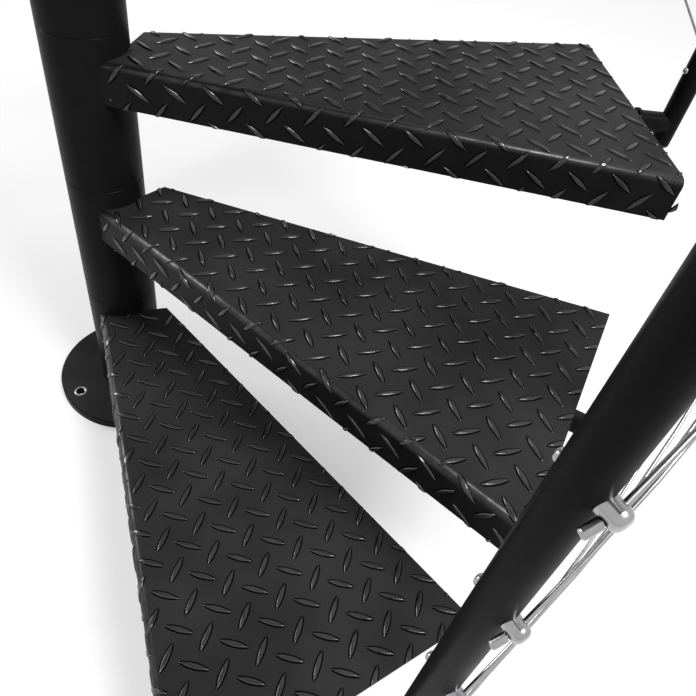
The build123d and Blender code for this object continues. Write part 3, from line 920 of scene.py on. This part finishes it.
@dataclass
class Guard:
    """Balusters, rods, handrail and the landing guard, with the screws that hold the rod holders."""

    treads: int = 12
    step_angle: float = 30.0
    first_top: float = 0.196
    rise: float = 0.200
    baluster_radius: float = 0.0127
    baluster_circle: float = 0.7338
    rods: int = 7
    first_rod: float = 0.047
    rod_spacing: float = 0.120
    landing_turn: float = -11.8
    post_u: float = -0.0022
    post_last: float = 0.705
    post_spacing: float = 0.330
    posts: int = 2
    screw_radius: float = 0.0042
    screw_height: float = 0.0027
    socket_radius: float = 0.0016
    screw_sink: float = 0.0012
    screw_rim: float = 0.0004
    dome_turn: float = 68.0
    socket_lip: float = 0.0002
    socket_depth: float = 0.0016

    def _screw(self, place: Matrix, target: bmesh.types.BMesh) -> None:
        """Adds one domed screw head with a hexagonal socket.

        Args:
            place: The head's seat, its axis along Z.
            target: The mesh it is added to.
        """
        full_turn = math.radians(self.dome_turn)
        crown = self.screw_height - self.screw_rim
        dome = [
            (0.0, -self.screw_sink),
            (self.screw_radius, -self.screw_sink),
            (self.screw_radius, self.screw_rim),
        ]
        for step in (0.25, 0.5, 0.75, 1.0):
            turn = step * full_turn
            level = self.screw_rim + crown * math.sin(turn) / math.sin(full_turn)
            dome.append((self.screw_radius * math.cos(turn), level))
        socket = [
            (self.socket_radius + self.socket_lip, self.screw_height),
            (self.socket_radius, self.screw_height - self.socket_lip),
            (self.socket_radius, self.screw_height - self.socket_depth),
            (0.0, self.screw_height - self.socket_depth - self.socket_lip),
        ]
        turned_shape(dome + socket, 18, place, target)

    def _screw_places(self) -> list[Matrix]:
        """Returns the seat of each screw, on the inner side of its baluster or post."""
        seats: list[Matrix] = []
        inner = Matrix.Rotation(math.radians(-90.0), 4, "Y")
        for tread in range(self.treads):
            spin = Matrix.Rotation(math.radians(self.step_angle * tread), 4, "Z")
            for rod in range(self.rods):
                height = self.first_top + self.rise * tread + self.first_rod + self.rod_spacing * rod
                spot = Matrix.Translation((self.baluster_circle - self.baluster_radius, 0.0, height))
                seats.append(spin @ spot @ inner)
        spin = Matrix.Rotation(math.radians(self.landing_turn), 4, "Z")
        level = self.first_top + self.rise * self.treads
        for post in range(self.posts):
            for rod in range(self.rods):
                spot = (
                    self.post_u + self.baluster_radius,
                    self.post_last - self.post_spacing * post,
                    level + self.first_rod + self.rod_spacing * rod,
                )
                seats.append(spin @ Matrix.Translation(spot) @ Matrix.Rotation(math.radians(90.0), 4, "Y"))
        return seats

    def build(
        self,
        coat: bpy.types.Material,
        bush_coat: bpy.types.Material,
        plastic: bpy.types.Material,
        rod_steel: bpy.types.Material,
        fitting_steel: bpy.types.Material,
    ) -> None:
        """Dresses the guard and adds the screws.

        Args:
            coat: Finish of the tubes.
            bush_coat: Finish of the bushes round the balusters.
            plastic: Finish of the plugs and caps.
            rod_steel: Finish of the rods.
            fitting_steel: Finish of holders, caps and screws.
        """
        dress_nodes(["baluster_bushes"], bush_coat)
        dress_nodes(["balusters", "handrail", "handrail_supports"], coat)
        dress_nodes(["landing_post_feet", "landing_posts", "landing_rail"], coat)
        dress_nodes(["baluster_end_plugs", "handrail_end_caps"], plastic)
        dress_nodes(["rail_rods", "landing_rods"], rod_steel)
        dress_nodes(["rod_holders", "rod_end_caps"], fitting_steel)
        screws = bmesh.new()
        for seat in self._screw_places():
            self._screw(seat, screws)
        bmesh.ops.recalc_face_normals(screws, faces=screws.faces)
        mesh = bpy.data.meshes.new("holder_screws")
        screws.to_mesh(mesh)
        screws.free()
        finish_piece("holder_screws", mesh, fitting_steel)


# ---------------------------------------------------------------- studio


@dataclass(frozen=True)
class Softbox:
    """A square or oblong soft lamp that looks at a point."""

    name: str
    place: tuple[float, float, float]
    target: tuple[float, float, float]
    size: tuple[float, float]
    power: float

    def build(self) -> None:
        """Hangs the lamp."""
        lamp = bpy.data.lights.new(self.name, "AREA")
        lamp.shape = "RECTANGLE"
        lamp.size, lamp.size_y = self.size
        lamp.energy = self.power
        holder = bpy.data.objects.new(self.name, lamp)
        bpy.context.scene.collection.objects.link(holder)
        holder.location = self.place
        holder.rotation_mode = "QUATERNION"
        holder.rotation_quaternion = (Vector(self.target) - Vector(self.place)).to_track_quat("-Z", "Y")
        LOG.info("lamp %s", self.name)


@dataclass
class Studio:
    """Pale floor, soft lamps, white surroundings and the camera."""

    floor_size: float = 40.0
    floor_colour: tuple[float, float, float] = (0.66, 0.66, 0.66)
    floor_glow: float = 0.355
    world_light: float = 0.62
    camera_place: tuple[float, float, float] = (0.7884, -0.1797, 0.9391)
    camera_turn: tuple[float, float, float] = (45.1504, -6.7162, 59.0193)
    camera_lens: float = 33.80
    camera_shift: tuple[float, float] = (0.0211, -0.0425)

    def _seen(self, tree: bpy.types.NodeTree) -> bpy.types.NodeSocket:
        """Wires a factor that is 1 for rays that show the surroundings.

        Args:
            tree: The node tree.

        Returns:
            The factor.
        """
        path = tree.nodes.new("ShaderNodeLightPath")
        total = path.outputs["Is Camera Ray"]
        for name in ("Is Glossy Ray", "Is Transmission Ray"):
            node = tree.nodes.new("ShaderNodeMath")
            node.operation = "MAXIMUM"
            tree.links.new(total, node.inputs[0])
            tree.links.new(path.outputs[name], node.inputs[1])
            total = node.outputs[0]
        return total

    def _world(self) -> None:
        """Makes the surroundings white to look at and softer as light."""
        world = bpy.data.worlds.new("studio_world")
        world.use_nodes = True
        tree = world.node_tree
        tree.nodes.clear()
        output = tree.nodes.new("ShaderNodeOutputWorld")
        light = tree.nodes.new("ShaderNodeBackground")
        shown = tree.nodes.new("ShaderNodeBackground")
        mix = tree.nodes.new("ShaderNodeMixShader")
        light.inputs["Strength"].default_value = self.world_light
        shown.inputs["Strength"].default_value = 1.0
        for node in (light, shown):
            node.inputs["Color"].default_value = (1.0, 1.0, 1.0, 1.0)
        tree.links.new(self._seen(tree), mix.inputs[0])
        tree.links.new(light.outputs[0], mix.inputs[1])
        tree.links.new(shown.outputs[0], mix.inputs[2])
        tree.links.new(mix.outputs[0], output.inputs["Surface"])
        bpy.context.scene.world = world

    def _floor(self) -> None:
        """Lays the pale floor, which keeps the stair's soft shadow."""
        mesh = bpy.data.meshes.new("studio_floor")
        half = self.floor_size / 2
        corners = [(-half, -half, 0.0), (half, -half, 0.0), (half, half, 0.0), (-half, half, 0.0)]
        mesh.from_pydata(corners, [], [(0, 1, 2, 3)])
        shader = ShaderTree("studio_floor_paint")
        tree = shader.tree
        shader.surface.inputs["Roughness"].default_value = 0.8
        shader.surface.inputs["Specular IOR Level"].default_value = 0.1
        shade = tuple(0.985 * part for part in self.floor_colour)
        tone = shader.blend(shader.noise(0.5, 4.0), shade, self.floor_colour)
        shader.feed(shader.surface.inputs["Base Color"], tone)
        shader.feed(shader.surface.inputs["Normal"], shader.bump(shader.noise(0.004, 2.0), 0.00005))
        glow = tree.nodes.new("ShaderNodeEmission")
        total = tree.nodes.new("ShaderNodeAddShader")
        pick = tree.nodes.new("ShaderNodeMixShader")
        glow.inputs["Strength"].default_value = self.floor_glow
        tree.links.new(shader.surface.outputs[0], total.inputs[0])
        tree.links.new(glow.outputs[0], total.inputs[1])
        tree.links.new(self._seen(tree), pick.inputs[0])
        tree.links.new(shader.surface.outputs[0], pick.inputs[1])
        tree.links.new(total.outputs[0], pick.inputs[2])
        tree.links.new(pick.outputs[0], shader.output.inputs["Surface"])
        mesh.materials.append(shader.material)
        floor = bpy.data.objects.new("studio_floor", mesh)
        bpy.context.scene.collection.objects.link(floor)

    def _camera(self) -> None:
        """Sets up the camera, close above the lowest treads."""
        camera = bpy.data.cameras.new("studio_camera")
        camera.lens = self.camera_lens
        camera.sensor_width = 36.0
        camera.shift_x, camera.shift_y = self.camera_shift
        camera.clip_start = 0.01
        holder = bpy.data.objects.new("studio_camera", camera)
        holder.location = self.camera_place
        holder.rotation_euler = [math.radians(angle) for angle in self.camera_turn]
        bpy.context.scene.collection.objects.link(holder)
        bpy.context.scene.camera = holder

    def build(self) -> None:
        """Builds the studio."""
        bpy.context.scene.view_settings.view_transform = "Standard"
        self._world()
        self._floor()
        self._camera()
        lamps = [
            Softbox("key_softbox", (1.70, 0.58, 3.15), (0.4, 0.1, 0.4), (0.9, 0.9), 80.0),
            Softbox("left_softbox", (-3.0, -2.2, 2.8), (0.1, 0.0, 0.8), (1.4, 1.6), 85.0),
        ]
        for lamp in lamps:
            lamp.build()


def main() -> None:
    """Builds every sub-assembly in order."""
    logging.basicConfig(level=logging.INFO, format="%(message)s")
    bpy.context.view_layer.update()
    tread_coat, lug_coat = TREAD_COAT.material(), LUG_COAT.material()
    column_coat, guard_coat, plastic = COLUMN_COAT.material(), GUARD_COAT.material(), PLASTIC.material()
    rod_steel, turned_steel = ROD_STEEL.material(), TURNED_STEEL.material()
    Column().build(column_coat, plastic, turned_steel)
    Flight().build(tread_coat, lug_coat)
    Landing().build(tread_coat, lug_coat)
    Guard().build(guard_coat, column_coat, plastic, rod_steel, turned_steel)
    Studio().build()
    LOG.info("stair complete")


if __name__ == "__main__":
    main()
